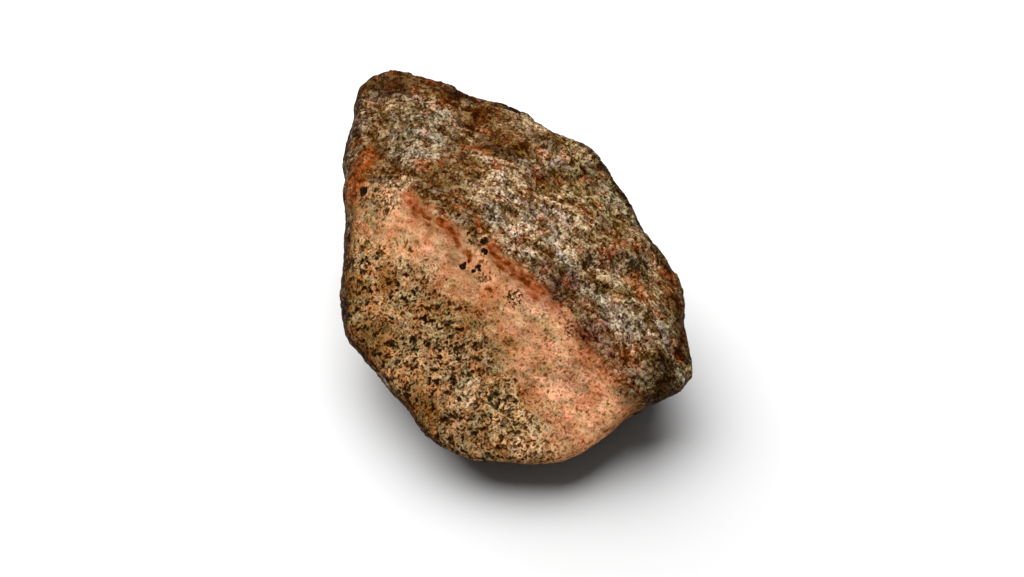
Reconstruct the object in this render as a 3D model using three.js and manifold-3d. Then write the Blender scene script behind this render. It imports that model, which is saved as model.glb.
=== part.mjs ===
// A hand-sized stone, 84 mm wide, 97 mm long and 49 mm high, lying on its broad side: a martian meteorite
// whose front is one smooth, sloping broken face and whose top, flanks and back are a rough, grainy rind.
// Millimetres, +Z up, +X to the right and +Y to the back. The stone rests on z = 0.
//
// The stone is one solid. It is drawn as a net of corners, the places where its broken faces meet. Each
// direction out of the stone's heart pierces one triangle of the net, the edges are worn round by averaging
// over a small cap of directions, and the weathered relief is added along the same direction.
import * as THREE from "three";
import { ConvexHull } from "three/addons/math/ConvexHull.js";
import { ImprovedNoise } from "three/addons/math/ImprovedNoise.js";
import { mergeVertices } from "three/addons/utils/BufferGeometryUtils.js";
import Module from "manifold-3d";

const HEART = new THREE.Vector3(-2, 0, 21); // the point that every face looks away from
const SPHERE_DETAIL = 21; // icosphere subdivisions: 20 * (detail + 1)^2 triangles
const SPHERE_SPREAD = new THREE.Vector3(1, 1.1, 0.75); // flattens the sphere, so that triangles are alike in size
const WEAR = 0.045; // radians: half width of the rounding on every edge, about 2 mm
const WEAR_SAMPLES = 8; // directions on the ring of the rounding cap
const RIND_STEP = 1.1; // how far the rind stands proud of the front face along the crest
const SLAB = 200; // width of the block that flattens the underside

// The corners, going round each part of the stone. Heights are above the surface that it lies on, before
// the underside is flattened.
const RIM_BACK = [
  [-39.5, 44, 38.5],
  [-38, 50, 41],
  [-29, 52, 42.5],
  [-18, 47.5, 43.5],
  [-11, 43.5, 42.5],
  [0, 40, 41.5],
  [9, 32.5, 41],
  [17.5, 27, 39],
];
const RIM_RIGHT = [
  [22.5, 19, 36],
  [30.5, 6.5, 32],
  [36.5, -4, 28],
  [38.5, -11, 25],
  [39.3, -25, 21],
  [37, -28.5, 18.5],
];
const RIM_FRONT = [
  [30.5, -31.5, 17],
  [24.5, -38, 15],
  [16.5, -44.5, 13],
  [9.5, -47, 12],
  [-9, -46.5, 12],
  [-16, -43.5, 13],
  [-21.7, -38, 14],
  [-34, -23, 18],
];
const RIM_LEFT = [
  [-40.5, -16.5, 21],
  [-42, -9, 23],
  [-41, 12, 33],
  [-43.6, 21, 36],
  [-40, 30, 37],
];
// The crest between the smooth front face and the rough top, from left to right.
const CREST = [
  [-35.5, 12, 42],
  [-27, 6.5, 46],
  [-17, -3, 46.5],
  [-6, -8.5, 44.5],
  [6, -17, 39.5],
  [19, -26, 32],
  [31, -32, 23.5],
];
// The front face's own left edge, where it turns into the dark flank, and its gentle swell.
const FRONT = [
  [-38.5, 8, 38],
  [-38.5, -4, 32.5],
  [-38, -15, 26],
  [-31, -25.5, 21.5],
  [-20.5, -37, 18],
  [-23, -9, 38],
  [-13, -24, 30],
  [5, -33, 23.5],
];
// Blocks and hollows of the rough top.
const TOP = [
  [-37, 40, 42.5],
  [-36, 24, 42],
  [-24, 32, 47],
  [-22, 18, 48.5],
  [-9, 27, 42.5],
  [8, 14, 39.5],
  [-5, 8, 47],
  [7, 25, 43],
  [11, 3, 42.5],
  [21, -10, 37.5],
  [21, -16, 34],
  [31, -17, 31],
];
const BACK = [
  [-36, 46, 20],
  [-14, 45, 14],
  [9, 34, 20],
  [27, 16, 12],
  [38, -5, 13],
  [34, -22, 8],
];
const FLANKS = [
  [-12, -41.5, 7],
  [8, -42, 7],
  [25, -28, 8],
  [-31, -20.5, 8],
  [-40, -8, 12],
  [-40, 18, 19],
  [-37, 38, 18],
];
// The underside: its broken edge all round, and the low part that the stone lies on.
const UNDERSIDE = [
  [-31, 38, 6],
  [-10, 41, 4],
  [9, 30, 5],
  [25, 10, 3],
  [32, -11, 4],
  [24, -24, 3],
  [3, -36, 3],
  [-16, -34, 2.5],
  [-31, -16, 3],
  [-36, 10, 6],
  [-23, 24, 0.6],
  [-2, 24, 0.9],
  [16, 8, 0.5],
  [20, -14, 0.8],
  [4, -28, 0.5],
  [-17, -22, 0.8],
  [-26, 2, 0.6],
  [-3, 2, 1.4],
];

// Hollows scooped out of the surface: where they are, how wide and how deep.
const DENTS = [
  { at: [-41, 24, 37], width: 9, depth: 1.4 },
  { at: [-34, 27, 44], width: 6, depth: 1 },
  { at: [27, -26, 27], width: 8, depth: 1.3 },
  { at: [28, -36, 16], width: 7, depth: 1 },
  { at: [14, 38, 26], width: 13, depth: 2.5 },
  { at: [38, 2, 18], width: 12, depth: 2.2 },
  { at: [-30, 50, 24], width: 12, depth: 2 },
  { at: [4, -9, 45], width: 5, depth: 0.8 },
];

// Ledges on the top, each a line in plan. The surface drops on the right hand of someone who walks from one
// end to the other, or on the left hand where the drop is negative, and climbs back over the run.
const LEDGES = [
  { from: [-16, 46], to: [-9, 26], drop: -1.8, run: 6 },
  { from: [-9, 26], to: [10, 13], drop: -1.8, run: 7 },
  { from: [24, 8], to: [10, 13], drop: 1.2, run: 6 },
  { from: [5, -12], to: [32, -3], drop: 1.7, run: 9 },
  { from: [-36, 24], to: [-12, 17], drop: 0.9, run: 6 },
  { from: [-12, 2], to: [6, -7], drop: 0.8, run: 5 },
];

const corners = [
  ...RIM_BACK, ...RIM_RIGHT, ...RIM_FRONT, ...RIM_LEFT,
  ...CREST, ...FRONT, ...TOP, ...BACK, ...FLANKS, ...UNDERSIDE,
].map(([x, y, z]) => new THREE.Vector3(x, y, z));

// The net: each triangle joins three corners that are neighbours as seen from the heart.
function netOf(points) {
  const corner = new Map();
  for (const point of points) corner.set(point.clone().sub(HEART).normalize(), point);
  const hull = new ConvexHull().setFromPoints([...corner.keys()]);
  return hull.faces.map(({ edge }) =>
    [edge.tail().point, edge.head().point, edge.next.head().point].map((d) => corner.get(d)),
  );
}

// The distance from the heart to the net along a direction.
function reach(net, direction) {
  const ray = new THREE.Ray(HEART, direction);
  const hit = new THREE.Vector3();
  for (const [a, b, c] of net) {
    if (ray.intersectTriangle(a, b, c, false, hit)) return hit.distanceTo(HEART);
  }
  throw new Error("the net has a gap");
}

// The same distance averaged over a small cap, which wears the edges round.
function wornReach(net, direction) {
  const aside = new THREE.Vector3(0, 0, 1);
  if (Math.abs(direction.z) > 0.9) aside.set(1, 0, 0);
  const u = aside.clone().cross(direction).normalize();
  const v = direction.clone().cross(u);
  let sum = reach(net, direction);
  for (let i = 0; i < WEAR_SAMPLES; i++) {
    const turn = (i / WEAR_SAMPLES) * 2 * Math.PI;
    const near = direction.clone();
    near.addScaledVector(u, WEAR * Math.cos(turn)).addScaledVector(v, WEAR * Math.sin(turn));
    sum += reach(net, near.normalize());
  }
  return sum / (WEAR_SAMPLES + 1);
}

const perlin = new ImprovedNoise();
const smoothstep = THREE.MathUtils.smoothstep;

// Lumps of a given width: octaves of smooth noise, each half as wide and half as high as the last.
function lumps(p, width, octaves) {
  let sum = 0;
  for (let i = 0; i < octaves; i++) {
    const f = 2 ** i / width;
    sum += perlin.noise(p.x * f + 7.3 * i, p.y * f - 3.1 * i, p.z * f + 5.7) / 2 ** i;
  }
  return sum;
}

// 0 on the smooth front face, 1 on the rough rind. The crest runs straight across the stone in plan.
function rindShare(p) {
  const acrossCrest = (p.x + 35) * 0.56 + (p.y - 10.5) * 0.83 + 1.5 * lumps(p, 9, 2);
  return smoothstep(acrossCrest, -2, 1.5);
}

// A point moved about by slow noise, so that nothing measured from it has a straight or round outline.
function wandering(p, by) {
  return new THREE.Vector3(
    p.x + by * lumps(p, 8, 2),
    p.y + by * lumps({ x: p.y, y: p.z, z: p.x }, 8, 2),
    p.z,
  );
}

function dentDepth(p) {
  const near = wandering(p, 2.5);
  let depth = 0;
  for (const dent of DENTS) {
    const away = near.distanceTo(new THREE.Vector3(...dent.at)) / dent.width;
    depth += dent.depth * (1 - smoothstep(away, 0.2, 1));
  }
  return depth;
}

function ledgeDepth(p) {
  const near = wandering(p, 3);
  let depth = 0;
  for (const { from, to, drop, run } of LEDGES) {
    const along = new THREE.Vector2(to[0] - from[0], to[1] - from[1]);
    const length = along.length();
    along.divideScalar(length);
    const [x, y] = [near.x - from[0], near.y - from[1]];
    const share = (x * along.x + y * along.y) / length;
    const beyond = (x * along.y - y * along.x) * Math.sign(drop);
    const inside = smoothstep(share, -0.15, 0.15) * (1 - smoothstep(share, 0.85, 1.15));
    depth += Math.abs(drop) * inside * smoothstep(beyond, -2, 2) * (1 - smoothstep(beyond, 2, run));
  }
  const lift = p.clone().sub(HEART).normalize().z;
  return depth * smoothstep(lift, 0.1, 0.4);
}

// Height of the weathered surface over the worn net: gentle swells on the front, and on the rind lumps,
// grains and the sharp-edged plates left by chips.
function relief(p) {
  const rind = rindShare(p);
  const chips = 0.4 - Math.abs(lumps(p, 15, 2));
  const rough = RIND_STEP + 1.6 * chips + 1.3 * lumps(p, 10, 3) + 0.9 * lumps(p, 5, 1) - ledgeDepth(p);
  const smooth = 0.7 * lumps(p, 12, 3);
  return THREE.MathUtils.lerp(smooth, rough, rind) - dentDepth(p);
}

function stoneGeometry() {
  const net = netOf(corners);
  const sphere = new THREE.IcosahedronGeometry(1, SPHERE_DETAIL);
  sphere.deleteAttribute("normal");
  sphere.deleteAttribute("uv");
  const geometry = mergeVertices(sphere, 1e-5);
  const position = geometry.getAttribute("position");
  const direction = new THREE.Vector3();
  for (let i = 0; i < position.count; i++) {
    direction.fromBufferAttribute(position, i).multiply(SPHERE_SPREAD).normalize();
    const worn = HEART.clone().addScaledVector(direction, wornReach(net, direction));
    worn.addScaledVector(direction, relief(worn));
    position.setXYZ(i, worn.x, worn.y, worn.z);
  }
  return geometry;
}

const wasm = await Module();
wasm.setup();

function solidOf(geometry) {
  const plain = geometry.clone();
  plain.deleteAttribute("normal");
  plain.deleteAttribute("uv");
  const merged = mergeVertices(plain, 1e-4);
  return new wasm.Manifold(
    new wasm.Mesh({
      numProp: 3,
      vertProperties: merged.getAttribute("position").array,
      triVerts: new Uint32Array(merged.index.array),
    }),
  );
}

function geometryOf(solid) {
  const mesh = solid.getMesh();
  return new THREE.BufferGeometry()
    .setAttribute("position", new THREE.BufferAttribute(mesh.vertProperties, 3))
    .setIndex(new THREE.BufferAttribute(mesh.triVerts, 1));
}

// The underside, worn flat where the stone lies: everything below z = 0 is taken away.
function flattened(geometry) {
  const slab = new THREE.BoxGeometry(SLAB, SLAB, SLAB).translate(0, 0, -SLAB / 2);
  return geometryOf(solidOf(geometry).subtract(solidOf(slab)));
}

const geometry = flattened(stoneGeometry());
geometry.computeBoundingBox();
const middle = geometry.boundingBox.getCenter(new THREE.Vector3());
geometry.translate(-middle.x, -middle.y, 0);
geometry.computeVertexNormals();

const stone = new THREE.Mesh(
  geometry,
  new THREE.MeshStandardMaterial({ color: 0x8a6a4c, roughness: 0.85, metalness: 0 }),
);
stone.name = "stone";

const meteorite = new THREE.Group();
meteorite.add(stone);
export default meteorite;
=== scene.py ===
import math

import bmesh
import bpy
import numpy as np
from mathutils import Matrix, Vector
from mathutils.bvhtree import BVHTree


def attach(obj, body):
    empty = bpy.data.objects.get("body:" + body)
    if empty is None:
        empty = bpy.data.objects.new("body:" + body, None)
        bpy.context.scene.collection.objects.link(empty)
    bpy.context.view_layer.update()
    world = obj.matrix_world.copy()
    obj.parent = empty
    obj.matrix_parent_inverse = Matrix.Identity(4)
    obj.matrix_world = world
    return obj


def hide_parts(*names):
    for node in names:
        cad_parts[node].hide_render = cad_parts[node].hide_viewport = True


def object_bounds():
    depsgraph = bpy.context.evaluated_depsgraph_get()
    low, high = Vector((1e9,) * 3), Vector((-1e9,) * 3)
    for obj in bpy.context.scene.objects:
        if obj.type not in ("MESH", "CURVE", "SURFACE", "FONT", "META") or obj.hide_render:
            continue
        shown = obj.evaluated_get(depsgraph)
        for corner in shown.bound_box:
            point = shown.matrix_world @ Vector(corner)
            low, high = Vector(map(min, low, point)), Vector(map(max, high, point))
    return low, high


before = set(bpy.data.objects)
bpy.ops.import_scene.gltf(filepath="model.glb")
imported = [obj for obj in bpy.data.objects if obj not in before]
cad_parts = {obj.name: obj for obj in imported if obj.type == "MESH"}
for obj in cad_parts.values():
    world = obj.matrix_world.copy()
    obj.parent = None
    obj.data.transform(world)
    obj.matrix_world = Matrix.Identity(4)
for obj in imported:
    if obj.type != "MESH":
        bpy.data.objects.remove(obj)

cad_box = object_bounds()

MM = 0.001
HEART_MM = Vector((-3, -3, 20))  # the point that every part of the surface can be seen from
BALL_CELLS = 128  # the stone's mesh has 6 * BALL_CELLS**2 four-sided faces
BALL_SPREAD = (1, 1.1, 0.75)  # flattens the ball, so that its faces are alike in size on the stone
EVENING_ROUNDS = 3
SMOOTHING_ROUNDS = 9
FACING_ROUNDS = 12  # how widely the way that the stone faces is averaged
UPWARD_ROUNDS = 70  # the same for how far it faces up

# The crest parts the front face from the rind. In plan it is a straight line through CREST_START_MM.
CREST_START_MM = Vector((-34, 7.3, 0))
ALONG_CREST = Vector((0.83, -0.56, 0))
ACROSS_CREST = Vector((0.56, 0.83, 0))
FRONT_FACING = Vector((-0.2, -0.62, 0.76))  # the way the front face looks

CAMERA_ELEVATION = math.radians(50)
CAMERA_LENS = 85
CAMERA_SENSOR = 36
VIEW_WIDTH = 0.2438  # what the picture's width covers at the stone
AIM = Vector((-0.00035, -0.0073, 0.0247))  # the point that the camera looks at
FLOOR_WIDTH = 12
WORLD_STRENGTH = 0.09
DISPLAY_GAMMA = 2.2  # between lightness as the eye sees it and the amount of light


class Graph:
    """Adds nodes to the node tree of a material or of a geometry modifier. What goes into a node is a
    number, a vector, a colour or another node's output."""

    def __init__(self, tree):
        self.tree = tree

    def node(self, kind, inputs, **settings):
        """Adds one node, with its inputs by name or number and its settings."""
        made = self.tree.nodes.new(kind)
        for name, value in settings.items():
            setattr(made, name, value)
        for name, value in inputs.items():
            if isinstance(value, bpy.types.NodeSocket):
                self.tree.links.new(value, made.inputs[name])
            else:
                made.inputs[name].default_value = value
        return made

    def math(self, operation, a, b=0.0, c=0.0):
        return self.node("ShaderNodeMath", {0: a, 1: b, 2: c}, operation=operation).outputs[0]

    def add(self, *terms):
        total = terms[0]
        for term in terms[1:]:
            total = self.math("ADD", total, term)
        return total

    def times(self, a, b):
        return self.math("MULTIPLY", a, b)

    def dot(self, a, b):
        return self.node("ShaderNodeVectorMath", {0: a, 1: b}, operation="DOT_PRODUCT").outputs["Value"]

    def step(self, value, low, high):
        """0 below low, 1 above high and smooth between."""
        inputs = {"Value": value, "From Min": low, "From Max": high}
        return self.node("ShaderNodeMapRange", inputs, interpolation_type="SMOOTHSTEP").outputs[0]

    def noise(self, place, width, octaves=2.0, roughness=0.5):
        """Smooth noise around 0, mostly within -0.3 and 0.3, with lumps of about half the given width."""
        inputs = {"Vector": place, "Scale": 1 / width, "Detail": octaves - 1, "Roughness": roughness}
        made = self.node("ShaderNodeTexNoise", inputs, noise_dimensions="3D")
        return self.math("SUBTRACT", made.outputs[0], 0.5)

    def warped(self, place, width, amount):
        """The place, shifted unevenly by about amount along each axis, which makes what is drawn with it less
        regular. Carried gives the place that a chosen spot is shifted to on average."""
        inputs = {"Vector": place, "Scale": 1 / width, "Detail": 1.0}
        made = self.node("ShaderNodeTexNoise", inputs, noise_dimensions="3D")
        inputs = {0: made.outputs["Color"], 1: (2 * amount,) * 3, 2: place}
        return self.node("ShaderNodeVectorMath", inputs, operation="MULTIPLY_ADD").outputs[0]

    def threads(self, place, width):
        """Thin bright threads on a darker ground, mostly within -0.15 and 0.08, around 0."""
        return self.math("SUBTRACT", 0.08, self.math("ABSOLUTE", self.noise(place, width, 2)))

    def cells(self, place, width):
        """The cells of a packing of grains of a given width: each point's distance from its grain's middle
        as a share of the width, its grain's random vector, and its place measured from that middle."""
        inputs = {"Vector": place, "Scale": 1 / width, "Randomness": 1.0}
        made = self.node("ShaderNodeTexVoronoi", inputs, voronoi_dimensions="3D", feature="F1")
        inputs = {0: place, 1: made.outputs["Position"]}
        within = self.node("ShaderNodeVectorMath", inputs, operation="SUBTRACT").outputs[0]
        return made.outputs["Distance"], made.outputs["Color"], within

    def gaps(self, place, width):
        """Each point's distance from the nearest gap between such grains, as a share of the width."""
        inputs = {"Vector": place, "Scale": 1 / width, "Randomness": 1.0}
        made = self.node("ShaderNodeTexVoronoi", inputs, voronoi_dimensions="3D", feature="DISTANCE_TO_EDGE")
        return made.outputs["Distance"]

    def blob(self, place, middle, radius, soft=0.4):
        """1 within a round patch and 0 outside it. Both lengths are in mm."""
        away = self.node("ShaderNodeVectorMath", {0: place, 1: middle}, operation="DISTANCE").outputs["Value"]
        return self.step(away, radius * (1 + soft), radius * (1 - soft))

    def streak(self, place, start, end, radius, soft=0.4):
        """1 within a round bar from start to end and 0 outside it. All lengths are in mm."""
        run = Vector(end) - Vector(start)
        inputs = {0: place, 1: start}
        away = self.node("ShaderNodeVectorMath", inputs, operation="SUBTRACT").outputs[0]
        share = self.node("ShaderNodeClamp", {0: self.dot(away, run / run.length_squared)}).outputs[0]
        inputs = {0: run, "Scale": share}
        along = self.node("ShaderNodeVectorMath", inputs, operation="SCALE").outputs[0]
        return self.blob(away, along, radius, soft)

    def largest(self, *values):
        found = values[0]
        for value in values[1:]:
            found = self.math("MAXIMUM", found, value)
        return found

    def mix(self, share, a, b):
        """The value a where share is 0, b where it is 1, and in between elsewhere."""
        return self.node("ShaderNodeMix", {0: share, 2: a, 3: b}, data_type="FLOAT").outputs[0]

    def paint(self, lightness, redness, yellowness):
        """The colour of a given lightness, as the eye sees it, from 0 to 1. Redness is how much more red it
        has than green, and yellowness is how much more green it has than blue. What is dark stays dull."""
        lightness = self.math("MAXIMUM", lightness, 0.08)
        redness = self.math("MAXIMUM", redness, 0.05)
        redness = self.math("MINIMUM", redness, self.math("MULTIPLY_ADD", lightness, 0.7, 0.03))
        yellowness = self.math("MINIMUM", yellowness, self.math("MULTIPLY_ADD", lightness, 0.6, 0.03))
        red = self.add(lightness, self.times(redness, 0.701), self.times(yellowness, 0.114))
        green = self.math("SUBTRACT", red, redness)
        blue = self.math("MAXIMUM", self.math("SUBTRACT", green, yellowness), 0.01)
        colour = self.node("ShaderNodeCombineColor", {0: red, 1: green, 2: blue}).outputs[0]
        return self.node("ShaderNodeGamma", {0: colour, 1: DISPLAY_GAMMA}).outputs[0]


def carried(middle, amount):
    """Where Graph.warped carries a place on average."""
    return tuple(c + amount for c in middle)


# ---- The shape ----


def ball():
    """The faces and directions of a ball of about evenly spread four-sided faces."""
    shape = bmesh.new()
    bmesh.ops.create_cube(shape, size=2)
    bmesh.ops.subdivide_edges(shape, edges=shape.edges[:], cuts=BALL_CELLS - 1, use_grid_fill=True)
    mesh = bpy.data.meshes.new("stone")
    bmesh.ops.recalc_face_normals(shape, faces=shape.faces[:])
    shape.to_mesh(mesh)
    shape.free()
    return mesh, np.tan(corners_of(mesh) * math.pi / 4) * BALL_SPREAD


def corners_of(mesh):
    """The places of a mesh's corners, one row each."""
    flat = np.empty(len(mesh.vertices) * 3)
    mesh.vertices.foreach_get("co", flat)
    return flat.reshape(-1, 3)


def set_corners(mesh, places):
    """Puts a mesh's corners at the places, one row each."""
    mesh.vertices.foreach_set("co", places.ravel())
    mesh.update()


def neighbour_mean(values, edges):
    """Each corner's mean over its neighbours."""
    ends = np.concatenate([edges[:, 0], edges[:, 1]])
    others = np.concatenate([edges[:, 1], edges[:, 0]])
    count = np.bincount(ends)
    sums = [np.bincount(ends, weights=values[others, axis]) for axis in range(values.shape[1])]
    return np.stack(sums, 1) / count[:, None]


def cast_on(solid, directions):
    """Where rays from the heart meet the solid."""
    heart = HEART_MM * MM
    return np.array([solid.ray_cast(heart, Vector(d))[0] for d in directions])


def resurfaced(node):
    """A fine, evenly spread mesh over the solid's facets, with their edges smoothed."""
    mesh, directions = ball()
    edges = np.empty(len(mesh.edges) * 2, int)
    mesh.edges.foreach_get("vertices", edges)
    edges = edges.reshape(-1, 2)
    solid = BVHTree.FromPolygons([v.co for v in node.data.vertices], [p.vertices for p in node.data.polygons])
    places = cast_on(solid, directions)
    for _ in range(EVENING_ROUNDS):
        places = cast_on(solid, neighbour_mean(places, edges) - np.array(HEART_MM * MM))
    for _ in range(SMOOTHING_ROUNDS):
        places = neighbour_mean(places, edges)
    set_corners(mesh, places)
    front = np.array(FRONT_FACING.normalized())
    store(mesh, "facing", "FLOAT", smooth_normals(mesh, edges, FACING_ROUNDS) @ front)
    store(mesh, "upward", "FLOAT", smooth_normals(mesh, edges, UPWARD_ROUNDS)[:, 2])
    store(mesh, "rest", "FLOAT_VECTOR", places / MM)
    return mesh


def smooth_normals(mesh, edges, rounds):
    """The way each corner faces, averaged over its surroundings in so many rounds."""
    normals = np.array([v.normal for v in mesh.vertices])
    for _ in range(rounds):
        normals = neighbour_mean(normals, edges)
    return normals / np.linalg.norm(normals, axis=1)[:, None]


def store(mesh, name, kind, values):
    """Keeps a value for each corner, for the relief and the colour to read."""
    field = {"FLOAT": "value", "FLOAT_VECTOR": "vector"}[kind]
    attribute = mesh.attributes.new(name, kind, "POINT")
    attribute.data.foreach_set(field, np.asarray(values, np.float32).ravel())


SWELLS = [  # middles, radii and heights in mm of broad swells, and of dents where the height is below 0
    ((-35, 45, 41), 6, 1.1),
    ((-40, 28, 35), 6, 1),
    ((-40, 21, 35), 4, 0.9),
    ((-41, 15, 33), 4, -0.8),
    ((-40, -11, 21), 7, 0.9),
    ((-21, 46, 43), 5, -1),
    ((12, 29, 41), 6, -1.2),
    ((4, 35, 40), 4, -0.6),
    ((20, 22, 37), 5, 1.1),
    ((25, 15, 34), 5, 0.6),
    ((36, -4, 28), 5, 1.1),
    ((40, -30, 18), 4, 1),
    ((35, -32, 14), 4, -0.8),
    ((27, -35, 11), 4, 0.6),
    ((-19, -40, 11), 6, 0.7),
]


# ---- Patterns that the shape and the colour share ----


def along_crest(graph, place):
    """How far to the right of the crest's left end a place is, in mm."""
    return graph.add(graph.dot(place, ALONG_CREST), -CREST_START_MM.dot(ALONG_CREST))


def across_crest(graph, place):
    """How far behind the crest a place is, in mm."""
    return graph.add(graph.dot(place, ACROSS_CREST), -CREST_START_MM.dot(ACROSS_CREST))


def layered(graph, place):
    """The place as the rind's layers have it: three times as long along them, and bent as they are, from
    running to the right at the left end to running along the crest at the right."""
    parts = graph.node("ShaderNodeSeparateXYZ", {0: place}).outputs
    right = graph.math("ADD", parts[0], 35)
    bend = graph.times(graph.times(right, right), 0.009)
    x, y = graph.times(parts[0], 0.35), graph.add(parts[1], bend)
    return graph.node("ShaderNodeCombineXYZ", {0: x, 1: y, 2: parts[2]}).outputs[0]


def rind_share(graph, place, facing):
    """1 on the rough rind and 0 on the smooth front face."""
    wobble = graph.add(graph.times(graph.noise(place, 9, 3), 5), graph.times(graph.noise(place, 1.6, 3), 3.5))
    along = along_crest(graph, place)
    start = graph.times(graph.step(along, 26, 8), -1.8)
    spur = graph.times(graph.step(along, 56, 62), graph.step(along, 80, 74))
    across = graph.add(across_crest(graph, place), wobble, start, graph.times(spur, 2.7))
    behind = graph.step(graph.math("DIVIDE", across, graph.mix(spur, 0.6, 2.6)), -1, 1)
    lower = graph.times(graph.step(along, 40, 60), 0.7)
    edge = graph.add(facing, graph.times(graph.noise(place, 4, 3), 0.2), lower)
    return graph.largest(behind, graph.step(edge, 0.68, 0.6))


def speckled_share(graph, place):
    """1 where the front face is speckled, falling to 0 in the plain band along the crest, which widens to
    the right."""
    along = along_crest(graph, place)
    widening = graph.times(graph.times(along, along), 0.0023)
    band = graph.add(widening, graph.times(graph.step(along, 44, 66), 3.5), 6.4)
    wobble = graph.times(graph.noise(place, 5, 3), 9)
    beyond = graph.step(graph.add(across_crest(graph, place), band, wobble), 3.5, -7)
    start = graph.times(graph.step(graph.add(along, wobble), 14, 2), 0.6)
    return graph.largest(beyond, start)


def ledges(graph, place):
    """Height of the rind's ledges, in steps of 1, and 1 on the risers between them, where painted shadow
    goes.
    """
    slope = graph.times(graph.noise(layered(graph, place), 6, 3), 8)
    part = graph.math("FRACT", slope)
    tread = graph.math("SUBTRACT", slope, part)
    shaded_risers = graph.times(graph.step(part, 0.3, 0.5), graph.step(part, 0.75, 0.6))
    return graph.add(tread, graph.step(part, 0.35, 0.65)), shaded_risers


def rind_height(graph, place):
    """Height in mm of the rind's lumps, layers, chips and grains."""
    lumps = graph.times(graph.noise(place, 6, 3), 1.1)
    layers = graph.times(graph.noise(layered(graph, place), 2.2, 2), 0.9)
    ledge, _ = ledges(graph, place)
    _, chip, across = graph.cells(place, 3.2)
    tilt = graph.node("ShaderNodeVectorMath", {0: chip, 1: (0.5, 0.5, 0.5)}, operation="SUBTRACT").outputs[0]
    chips = graph.times(graph.dot(tilt, across), 0.4)
    bent = graph.warped(place, 1.5, 0.3)
    away, grain, _ = graph.cells(bent, 1.05)
    grains = graph.add(graph.times(away, -0.35), graph.times(graph.dot(grain, (1, 0, 0)), 0.3))
    return graph.add(lumps, layers, chips, grains, graph.times(ledge, 0.25))


def front_height(graph, place):
    """Height in mm of the front face's swells and shallow pits."""
    swells = graph.times(graph.noise(place, 8, 2), 0.9)
    ripples = graph.times(graph.noise(place, 1.8, 2), 0.35)
    return graph.add(swells, ripples)


def swells(graph, place):
    """Height in mm of the broad swells and dents along the outline."""
    heights = [graph.times(graph.blob(place, middle, radius, 0.8), h) for middle, radius, h in SWELLS]
    return graph.add(*heights)


def relief_modifier():
    """Moves every corner of a mesh out along its normal by the height of the relief."""
    tree = bpy.data.node_groups.new("relief", "GeometryNodeTree")
    tree.interface.new_socket("Geometry", in_out="INPUT", socket_type="NodeSocketGeometry")
    tree.interface.new_socket("Geometry", in_out="OUTPUT", socket_type="NodeSocketGeometry")
    graph = Graph(tree)
    given = graph.node("NodeGroupInput", {})
    read = graph.node("GeometryNodeInputNamedAttribute", {"Name": "rest"}, data_type="FLOAT_VECTOR")
    facing = graph.node("GeometryNodeInputNamedAttribute", {"Name": "facing"}, data_type="FLOAT")
    upward = graph.node("GeometryNodeInputNamedAttribute", {"Name": "upward"}, data_type="FLOAT")
    place = read.outputs[0]
    rind = rind_share(graph, place, facing.outputs[0])
    fresh = graph.mix(graph.step(upward.outputs[0], 0.4, 0.9), 0.4, 1.0)
    rough = graph.times(rind_height(graph, place), fresh)
    height = graph.add(graph.mix(rind, front_height(graph, place), rough), swells(graph, place))
    normal = graph.node("GeometryNodeInputNormal", {}).outputs[0]
    inputs = {0: normal, "Scale": graph.times(height, MM)}
    offset = graph.node("ShaderNodeVectorMath", inputs, operation="SCALE").outputs[0]
    moved = graph.node("GeometryNodeSetPosition", {"Geometry": given.outputs[0], "Offset": offset})
    graph.node("NodeGroupOutput", {0: moved.outputs[0]})
    return tree


def fitted(places):
    """The places, pressed flat where the stone rests and kept inside the solid's box."""
    low, high = (np.array(corner) for corner in cad_box)
    return np.clip(places, low, high)


def make_stone():
    """The stone's fine surface, with its relief and finish."""
    piece = bpy.data.objects.new("stone_surface", resurfaced(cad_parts["stone"]))
    bpy.context.scene.collection.objects.link(piece)
    modifier = piece.modifiers.new("relief", "NODES")
    modifier.node_group = relief_modifier()
    raised = piece.evaluated_get(bpy.context.evaluated_depsgraph_get())
    places = corners_of(raised.data)
    piece.modifiers.clear()
    mesh = piece.data
    set_corners(mesh, fitted(places))
    mesh.polygons.foreach_set("use_smooth", np.ones(len(mesh.polygons), bool))
    mesh.materials.append(stone_material())
    return piece
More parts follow.
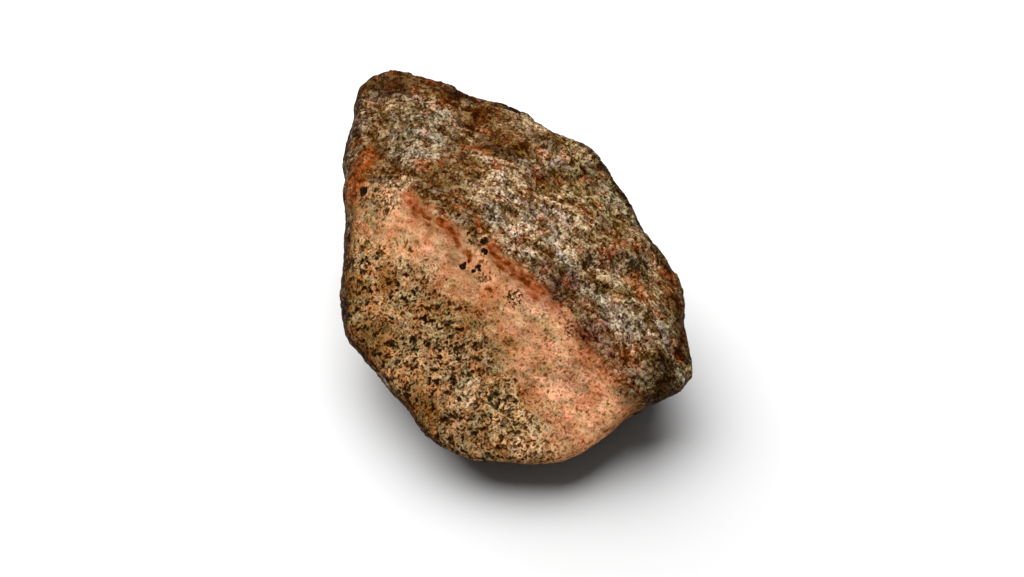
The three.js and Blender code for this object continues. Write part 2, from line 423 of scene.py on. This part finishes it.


# ---- The finish ----


# Soft patches of the stone: middle and radius in mm, the share by which each is lighter (or darker, below 0),
# and how much redder and yellower it is. The lighter and darker shares are partly the stone's own tone and
# partly painted light and shade of its relief; the redder and yellower shares are its own colour. A note
# names the part of the stone that a run of them begins in.
TONE_AND_SHADE_PATCHES = [
    ((-22, 24, 48), 9, 0, -0.04, -0.02),  # a grey layered block
    ((-15, 29, 45), 4, 0.15, 0, 0),
    ((-29, 42, 45), 6, -0.55, -0.02, -0.02),  # painted shade on the rim at the back
    ((-17, 40, 44), 6, -0.5, 0.01, 0),
    ((-31, 28, 45), 3, -0.2, 0, 0),
    ((-35, 40, 43), 4, -0.25, 0, 0),
    ((-34, 19, 43.5), 5, -0.4, 0, 0),
    ((-30, 12, 45.5), 4, -0.25, 0, 0),
    ((-10, 30, 43), 5, -0.35, 0.01, 0),  # painted shade in the valley behind the block
    ((-5, 35, 42.5), 5, -0.4, 0, 0),
    ((9, 24, 43.5), 4, -0.25, 0, 0),
    ((-2, 21.5, 44.3), 6, -0.5, 0, 0),
    ((4, 9.5, 44), 3, 0.2, 0, 0),
    ((-13, 14, 47), 4, -0.25, 0, 0),
    ((-15, 21, 46.5), 3, -0.15, 0, 0),
    ((9, 12, 42), 4, -0.35, 0.01, 0.01),
    ((8.5, 4.5, 43), 3, 0.25, 0, 0),
    ((18.5, 15, 38), 4, -0.2, 0, 0),
    ((21, 13, 38), 8, -0.05, -0.02, 0.01),
    ((-17, 4, 48), 7, -0.35, 0, 0),  # below the grey block
    ((-19, -0.5, 48), 3, 0.15, 0, 0),
    ((-4, 3, 48), 8, 0.15, 0, 0),  # pale lumps behind the crest
    ((-11, -4, 47.5), 4, -0.3, 0, 0),
    ((7, 2, 43.5), 4, 0.1, 0, 0),
    ((8.5, -3.5, 44), 3, -0.25, 0, 0),
    ((2, -8.5, 44), 4.5, 0.25, 0, 0),
    ((4, -14.5, 43.5), 3, -0.25, 0, 0),
    ((14, -7, 42), 7, 0.2, 0, 0),
    ((22.6, -5, 39.5), 4, -0.2, 0, 0),
    ((25, 1, 36), 5, -0.2, 0, 0),
    ((32, -5, 31), 4, 0.4, 0, 0),
    ((29.5, -12.5, 33), 4, -0.25, 0, 0),
    ((37, -17, 29), 4, -0.35, 0, 0),  # the right shoulder
    ((37, -12, 29), 5, -0.1, 0.03, 0),
    ((11, -19, 39), 5, -0.35, 0, -0.04),  # a dark band behind the crest
    ((18, -27, 33), 4, -0.25, 0, -0.04),
    ((29, -23, 31), 8, 0.15, 0, 0),  # pale blocks at the right
    ((38, -29, 22.5), 4, 0.5, 0, 0.01),
    ((23, -32, 28), 6, -0.02, 0.065, 0.02),  # a reddish spur of the crest
    ((34, -35.5, 21.5), 6, -0.27, -0.03, -0.03),  # painted shade on the shadowed right end
    ((-29, 3, 44.5), 3, 0.2, 0, 0),  # the left end of the front face
    ((-26, -2, 43), 7, 0.05, 0.01, 0),
    ((4, -22, 38), 4, 0.2, 0, 0),
    ((-19.4, -11.5, 40), 3.5, 0.2, 0, 0),
    ((0.3, -18, 40.6), 2, 0.15, 0, 0),
    ((-9.5, -8.5, 44.8), 2, -0.15, 0, 0),
    ((-20, -5.5, 44), 1.6, -0.2, 0, -0.02),  # a dull smear below the first rusty streak
    ((-32, -8, 34), 7, -0.05, 0, 0),  # the front face's darker lower rim
    ((-29, -12.5, 34), 2.5, -0.3, 0, 0),
    ((-37.5, -12, 28), 4, -0.25, 0, 0),
    ((-33, -23, 24), 6, -0.25, 0, 0),
    ((-22, -29, 24.5), 2.5, 0.15, 0, 0),
    ((-22, -38, 16), 6, -0.3, 0, 0),
    ((-17, -20, 34), 5, -0.15, 0, 0),
    ((-10, -23.5, 33.5), 3, -0.2, 0, 0),
    ((-5, -20.5, 36.8), 3, -0.2, 0, 0),
    ((-3, -29, 30), 4, -0.15, 0, 0),
    ((-10, -36, 23), 4, 0.15, 0, 0),
    ((11, -35, 25), 5, 0.15, 0, 0),
    ((-1, -41, 20), 4, 0.2, 0, 0.02),
    ((4, -38, 22.5), 3, -0.15, 0, 0),
    ((4, -45.5, 16), 4, 0.2, 0, 0.01),
    ((18, -37, 21.5), 2.5, -0.15, 0, 0),
    ((17, -37, 22), 8, 0.05, 0.04, 0),  # an orange stretch
]
RUST_STREAKS = [  # starts, ends and radii in mm
    ((-25.6, 2.2, 46.2), (-23.9, 0.5, 45.8), 1),
    ((-23.5, 0.1, 45.5), (-19.9, -4.1, 45.3), 1.1),
    ((-17, -5.6, 46.7), (-16.1, -6.3, 46.5), 0.8),
    ((-14.7, -7.2, 46), (-12.4, -9.9, 43.5), 0.8),
    ((-10.8, -11.3, 42.6), (-10.1, -12.8, 41.5), 0.6),
    ((-5, -12, 44.9), (-0.6, -17.2, 41.8), 1.4),
    ((2, -18, 42), (5.6, -20.9, 39.3), 1.4),
    ((-17.3, 11, 49.2), (-7.8, 22.4, 43.3), 0.4),
]
RUST_TIPS = [  # the same for brighter, orange rust
    ((-25.6, 2.2, 46.2), (-24.2, 1, 45.8), 1.2),
    ((-16.7, -5.8, 46.8), (-16.2, -6.2, 46.5), 1),
    ((-9, -3.6, 47), (-7.8, -7, 46.1), 0.45),
    ((1.8, -18, 41.9), (5.6, -20.9, 39.3), 1.3),
]
HOLLOW = [  # the same for a rusty hollow on the left shoulder
    ((-35.4, 19, 42.8), (-37, 16.6, 42.2), 2.8),
    ((-36.5, 16.6, 42.2), (-38, 12.5, 40.5), 3.3),
]
DOTTED = [  # middles and radii in mm, and densities, of patches of small dark dots in the plain band
    ((0.2, -21, 38), 2.2, 1.15),
    ((-9.5, -8.5, 44.8), 2, 1),
    ((-30.5, 4, 44), 4.5, 0.75),
    ((-7.2, -16.5, 39.5), 1.5, 1),
    ((14, -27, 33.6), 2.5, 0.9),
]
SPARSE_MM = (-31, -18, 29)  # where the front face has fewer spots
DARK_CRYSTALS = [  # middles and radii in mm
    ((-35.7, 8.5, 42), 1.35),
    ((-6.8, -10.2, 45.1), 0.95),
    ((-6.8, -12, 43.6), 0.8),
    ((-11.7, -13.7, 40.4), 0.85),
    ((-8.2, -14.6, 40.8), 0.9),
    ((-9.3, -15, 40.2), 0.55),
]


def tone_and_shade_patched(graph, place, paint):
    """The paint as the patches change it, with their tone and their painted light and shade."""
    drift = 2.5
    bent = graph.warped(place, 4, drift)
    light, redness, yellowness = paint
    for middle, radius, lighter, redder, yellower in TONE_AND_SHADE_PATCHES:
        share = graph.blob(bent, carried(middle, drift), radius, 0.5)
        light = graph.times(light, graph.math("MULTIPLY_ADD", share, lighter, 1))
        redness = graph.math("MULTIPLY_ADD", share, redder, redness)
        yellowness = graph.math("MULTIPLY_ADD", share, yellower, yellowness)
    return light, redness, yellowness


def rind_crust_and_side_shade(graph, place, facing, upward):
    """1 on the rind's steep sides, which are darkened and dulled: partly a darker crusted skin, partly
    painted shade where the sides turn away from the light.
    """
    uneven = graph.times(graph.noise(place, 7, 3), 0.25)
    return graph.times(graph.step(graph.add(upward, uneven), 0.88, 0.62), graph.step(facing, 0.94, 0.8))


def rind_grains(graph, place, bent, grain, fine):
    """Lightness of the rind's packing of grains, fine ones within coarse ones. The palest grains are partly
    the rind's own light minerals and partly painted glints.
    """
    threads = graph.threads(graph.warped(place, 0.8, 0.2), 0.9)
    gap = graph.add(graph.gaps(bent, 1.05), graph.times(graph.noise(place, 0.9, 2), 0.35))
    return graph.add(
        0.11,
        graph.dot(grain, (0.33, 0, 0)),
        graph.dot(fine, (0, 0.34, 0)),
        threads,
        graph.times(graph.step(gap, 0.1, -0.02), -0.14),
    )


def rind_shade(graph, place, crust_and_side_shade):
    """By how much the rind's layers and lumps lighten or darken its grains, with painted shadow on the risers
    between its ledges and darkening on its steep sides, partly a darker crusted skin and partly painted
    shade.
    """
    blotches = graph.step(graph.noise(graph.warped(place, 1.5, 0.5), 3, 3), 0.07, 0.17)
    _, shaded_risers = ledges(graph, place)
    return graph.add(
        1,
        graph.times(graph.noise(layered(graph, place), 2.2, 3), 0.8),
        graph.times(graph.noise(place, 7, 3), 1.1),
        graph.times(blotches, -0.3),
        # painted shadow on the risers between the ledges
        graph.times(shaded_risers, -0.25),
        graph.times(crust_and_side_shade, -0.45),
    )


def rind_paint(graph, place, facing, upward):
    """Lightness, redness and yellowness of the rind."""
    bent = graph.warped(place, 1.5, 0.35)
    _, grain, _ = graph.cells(bent, 1.05)
    _, fine, _ = graph.cells(graph.warped(place, 0.8, 0.2), 0.5)
    # the steep sides, darker and duller: partly a darker crusted skin, partly painted shade
    crust_and_side_shade = rind_crust_and_side_shade(graph, place, facing, upward)
    grains = rind_grains(graph, place, bent, grain, fine)
    rust = graph.step(graph.noise(graph.warped(place, 2, 0.8), 4.5, 3), 0.04, 0.2)
    grey = graph.step(graph.noise(layered(graph, place), 5, 3), -0.03, 0.12)
    olive = graph.step(graph.add(graph.noise(place, 6, 3), graph.dot(place, (0.004, 0, 0))), -0.02, 0.16)
    redness = graph.add(
        0.083,
        graph.times(rust, 0.09),
        graph.times(grey, -0.03),
        graph.times(olive, -0.01),
        graph.times(crust_and_side_shade, -0.015),
        graph.dot(grain, (0, 0, 0.05)),
        graph.times(graph.noise(place, 0.9, 2), 0.08),
    )
    yellowness = graph.add(
        0.06,
        graph.times(grains, 0.08),
        graph.times(grey, -0.035),
        graph.times(rust, 0.01),
        graph.times(olive, 0.01),
        graph.times(crust_and_side_shade, -0.02),
        graph.dot(fine, (0, 0, 0.04)),
        graph.times(graph.noise(place, 1.5, 3), 0.1),
    )
    light = graph.times(grains, rind_shade(graph, place, crust_and_side_shade))
    light = graph.math("MINIMUM", light, graph.math("MULTIPLY_ADD", light, 0.4, 0.36))
    return light, redness, yellowness


def combed(graph, place):
    """The place, four times as long along the crest."""
    along = graph.times(along_crest(graph, place), 0.25)
    height = graph.dot(place, (0, 0, 1))
    return graph.node("ShaderNodeCombineXYZ", {0: along, 1: across_crest(graph, place), 2: height}).outputs[0]


def stained(graph, place, streaks, wider=1.0):
    """1 on the streaks of a stain, with frayed borders and gaps."""
    drift = 1.1
    bent = graph.warped(place, 3, drift)
    shift = Vector((drift, drift, drift))
    shares = (graph.streak(bent, Vector(a) + shift, Vector(b) + shift, wider * r, 0.9) for a, b, r in streaks)
    frayed = graph.math("MULTIPLY_ADD", graph.noise(combed(graph, place), 1.2, 4, 0.6), 4.5, 1)
    return graph.step(graph.times(graph.largest(*shares), frayed), 0, 0.9)


def dark_grains(graph, place, width, share):
    """1 on ragged dark grains and 0 between them. Share is from 0, for a few grains, to 1, for many."""
    ragged = graph.noise(graph.warped(place, 0.6 * width, 0.2 * width), width, 3, 0.6)
    return graph.step(graph.add(ragged, graph.times(share, 0.12)), 0.13, 0.24)


def front_ground(graph, place, speckled, lower, smudges):
    """Lightness of the front face between its dark spots."""
    _, grain, _ = graph.cells(graph.warped(place, 1.2, 0.3), 0.8)
    fine = graph.threads(graph.warped(place, 0.8, 0.2), 0.9)
    haze = graph.step(graph.noise(place, 2.8, 3), 0, 0.2)
    streaks = graph.noise(combed(graph, place), 1.5, 3)
    return graph.add(
        graph.mix(speckled, 0.57, 0.46),
        graph.times(graph.noise(place, 6, 3), graph.mix(speckled, 0.45, 0.25)),
        graph.times(streaks, graph.mix(speckled, 0.3, 0.2)),
        graph.times(graph.add(graph.dot(grain, (1, 0, 0)), -0.5), graph.mix(speckled, 0.08, 0.22)),
        graph.times(fine, graph.mix(speckled, graph.mix(lower, 0.6, 1.05), 1.7)),
        graph.times(graph.noise(place, 2.2, 3), graph.mix(speckled, 0.15, 0.25)),
        graph.times(smudges, -0.08),
        graph.times(haze, graph.mix(speckled, -0.03, -0.07)),
    )


def front_paint(graph, place, facing, speckled):
    """Lightness, redness and yellowness of the smooth front face."""
    lower = graph.step(along_crest(graph, place), 25, 55)
    dark, dull = front_specks(graph, place, speckled, lower)
    depth = graph.times(graph.noise(place, 2, 3), speckled)
    smudges = graph.step(graph.noise(combed(graph, graph.warped(place, 3, 1)), 1.6, 2), 0.06, 0.18)
    smudges = graph.times(smudges, graph.math("SUBTRACT", 1, speckled))
    hue = graph.noise(place, 4, 3)
    ground = front_ground(graph, place, speckled, lower, smudges)
    # darker toward the edges where the front face turns away: partly a darker edge colour, partly painted
    # shade, strongest away from the lower right
    rim_shade = graph.times(graph.step(facing, 0.86, 0.62), graph.mix(lower, -0.4, -0.1))
    light = graph.times(graph.times(ground, graph.math("SUBTRACT", 1, dark)), graph.add(1, rim_shade))
    redness = graph.add(
        graph.mix(speckled, 0.147, 0.084),
        graph.times(ground, 0.12),
        graph.times(depth, 0.1),
        graph.times(smudges, -0.06),
        graph.times(graph.noise(place, 1.2, 3), graph.mix(speckled, 0.12, 0.2)),
        graph.times(hue, graph.mix(speckled, 0.26, 0.24)),
    )
    yellowness = graph.add(
        graph.mix(speckled, 0.08, 0.074),
        graph.times(ground, graph.mix(speckled, 0.13, 0.15)),
        graph.times(depth, 0.1),
        graph.times(smudges, -0.01),
        graph.times(hue, graph.mix(speckled, -0.04, 0.03)),
        graph.times(graph.noise(place, 1.4, 3), 0.11),
    )
    return light, graph.mix(dull, redness, 0.03), graph.mix(dull, yellowness, 0.03)


def front_specks(graph, place, speckled, lower):
    """How dark the front face's spots and dots are, from 0 for none to 1 for black, and how grey."""
    clusters = graph.noise(place, 6, 2)
    near = [graph.times(graph.blob(place, middle, radius), density) for middle, radius, density in DOTTED]
    dotted = graph.largest(*near)
    sparse = graph.blob(place, SPARSE_MM, 6)
    share = graph.add(graph.times(speckled, 1.1), graph.times(clusters, 1.3), graph.times(sparse, -0.7), -0.1)
    spots = graph.times(dark_grains(graph, place, 1.8, share), graph.mix(lower, 0.74, 0.62))
    share = graph.add(graph.times(lower, 0.12), graph.times(clusters, 1.8), graph.times(dotted, 0.6), 0.05)
    dots = dark_grains(graph, place, 0.95, graph.mix(speckled, share, graph.add(share, 0.45)))
    dots = graph.times(dots, graph.mix(speckled, 0.48, 0.6))
    uneven = graph.math("MULTIPLY_ADD", graph.noise(place, 0.7, 2), 1.6, 1)
    spots = graph.times(graph.times(spots, graph.mix(speckled, 0.6, 1)), uneven)
    specks = dark_grains(graph, place, 0.65, graph.math("MULTIPLY_ADD", dotted, 2.3, -1.2))
    dark = graph.largest(spots, dots, graph.times(specks, 0.75))
    return dark, graph.times(dark, graph.mix(graph.largest(speckled, dotted), 0.25, 1))


def crystals(graph, place):
    """1 on the few big dark crystals of the front face."""
    drift = 0.5
    bent = graph.warped(place, 1.4, drift)
    blobs = [graph.blob(bent, carried(middle, drift), radius, 0.6) for middle, radius in DARK_CRYSTALS]
    chipped = graph.math("MULTIPLY_ADD", graph.noise(place, 0.8, 3), 2.5, 1)
    return graph.step(graph.times(graph.largest(*blobs), chipped), 0.35, 0.65)


def stains(graph, place):
    """The stains on the stone: how much each covers, and its lightness, redness and yellowness."""
    fibres = graph.times(graph.noise(combed(graph, place), 0.9, 3), 0.6)
    mottle = graph.add(graph.noise(place, 1.6, 4, 0.6), fibres)
    cracks = graph.step(graph.threads(graph.warped(place, 1.5, 0.5), 2.4), 0.05, 0.08)
    glow = graph.times(stained(graph, place, RUST_STREAKS, 2), 0.35)
    body = graph.times(stained(graph, place, RUST_STREAKS), 0.85)
    tips = graph.times(stained(graph, place, RUST_TIPS), 0.8)
    hollow = graph.times(stained(graph, place, HOLLOW), 0.96)
    rusty = graph.add(graph.math("MULTIPLY_ADD", mottle, 0.9, 0.3), graph.times(cracks, -0.06))
    # painted glints: pale flecks on the dark crystals that stand in for light caught by their faces
    painted_glints = graph.step(graph.noise(place, 0.7, 2), 0.1, 0.2)
    return [
        (glow, (0.42, 0.22, 0.11)),
        (body, (rusty, 0.26, 0.13)),
        (tips, (graph.add(rusty, 0.07), 0.3, 0.14)),
        (hollow, (rusty, 0.285, 0.16)),
        (crystals(graph, place), (graph.math("MULTIPLY_ADD", painted_glints, 0.15, 0.08), 0.04, 0.04)),
    ]


def fine_height(graph, place, rind):
    """Height in mm of what is too small for the mesh."""
    away, _, _ = graph.cells(graph.warped(place, 0.8, 0.2), 0.5)
    grains = graph.times(away, graph.mix(rind, -0.05, -0.22))
    return graph.add(grains, graph.times(graph.noise(place, 0.35, 2), graph.mix(rind, 0.12, 0.3)))


def stone_material():
    """The finish of the front face and the rind, with the patches and stains over them."""
    material = bpy.data.materials.new("stone")
    material.use_nodes = True
    graph = Graph(material.node_tree)
    material.node_tree.nodes.clear()
    place = graph.node("ShaderNodeAttribute", {}, attribute_name="rest").outputs["Vector"]
    facing = graph.node("ShaderNodeAttribute", {}, attribute_name="facing").outputs["Fac"]
    upward = graph.node("ShaderNodeAttribute", {}, attribute_name="upward").outputs["Fac"]
    rind = rind_share(graph, place, facing)
    speckled = speckled_share(graph, place)
    pairs = zip(front_paint(graph, place, facing, speckled), rind_paint(graph, place, facing, upward))
    paint = tone_and_shade_patched(graph, place, [graph.mix(rind, front, back) for front, back in pairs])
    for share, stain in stains(graph, place):
        paint = [graph.mix(share, a, b) for a, b in zip(paint, stain)]
    light, redness, yellowness = paint
    bump = graph.node("ShaderNodeBump", {"Height": fine_height(graph, place, rind), "Distance": MM})
    inputs = {
        "Base Color": graph.paint(light, redness, yellowness),
        "Roughness": 0.6,
        "Specular IOR Level": 0.03,
        "Specular Tint": (1, 0.7, 0.4, 1),
        "Normal": bump.outputs[0],
    }
    shader = graph.node("ShaderNodeBsdfPrincipled", inputs)
    graph.node("ShaderNodeOutputMaterial", {"Surface": shader.outputs[0]})
    return material


# ---- The studio ----


def add_camera():
    """Looks down on the stone from the front, through a long lens."""
    back = Vector((0, -math.cos(CAMERA_ELEVATION), math.sin(CAMERA_ELEVATION)))
    camera = bpy.data.objects.new("camera", bpy.data.cameras.new("camera"))
    camera.data.lens = CAMERA_LENS
    camera.data.sensor_width = CAMERA_SENSOR
    camera.location = AIM + back * (VIEW_WIDTH * CAMERA_LENS / CAMERA_SENSOR)
    camera.rotation_mode = "QUATERNION"
    camera.rotation_quaternion = (-back).to_track_quat("-Z", "Y")
    bpy.context.scene.collection.objects.link(camera)
    bpy.context.scene.camera = camera


def add_floor():
    """A plain white floor."""
    bpy.ops.mesh.primitive_plane_add(size=FLOOR_WIDTH)
    floor = bpy.context.object
    floor.name = "floor"
    material = bpy.data.materials.new("floor")
    material.use_nodes = True
    shader = material.node_tree.nodes["Principled BSDF"]
    shader.inputs["Base Color"].default_value = (0.9, 0.9, 0.9, 1)
    shader.inputs["Roughness"].default_value = 0.9
    floor.data.materials.append(material)


def add_light(name, place, size, power):
    """A round lamp that points at the origin. Size is its width in metres, and power is in watts."""
    light = bpy.data.objects.new(name, bpy.data.lights.new(name, "AREA"))
    light.data.shape = "DISK"
    light.data.size = size
    light.data.energy = power
    light.location = place
    light.rotation_mode = "QUATERNION"
    light.rotation_quaternion = (-Vector(place)).to_track_quat("-Z", "Y")
    bpy.context.scene.collection.objects.link(light)
    return light


def add_studio(subject):
    """A big softbox behind and above throws the soft shadow, and a front light reaches the subject alone."""
    add_floor()
    add_light("softbox", place=(-0.17, 0.32, 0.6), size=1.2, power=12)
    front = add_light("front light", place=(0.15, -0.35, 0.6), size=0.4, power=2.2)
    lit = bpy.data.collections.new("lit from the front")
    lit.objects.link(subject)
    front.light_linking.receiver_collection = lit
    world = bpy.data.worlds.new("studio")
    world.use_nodes = True
    background = world.node_tree.nodes["Background"]
    background.inputs["Color"].default_value = (1, 1, 1, 1)
    background.inputs["Strength"].default_value = WORLD_STRENGTH
    bpy.context.scene.world = world
    bpy.context.scene.view_settings.view_transform = "Standard"


add_camera()
stone = make_stone()
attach(stone, "root")
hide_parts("stone")
add_studio(stone)
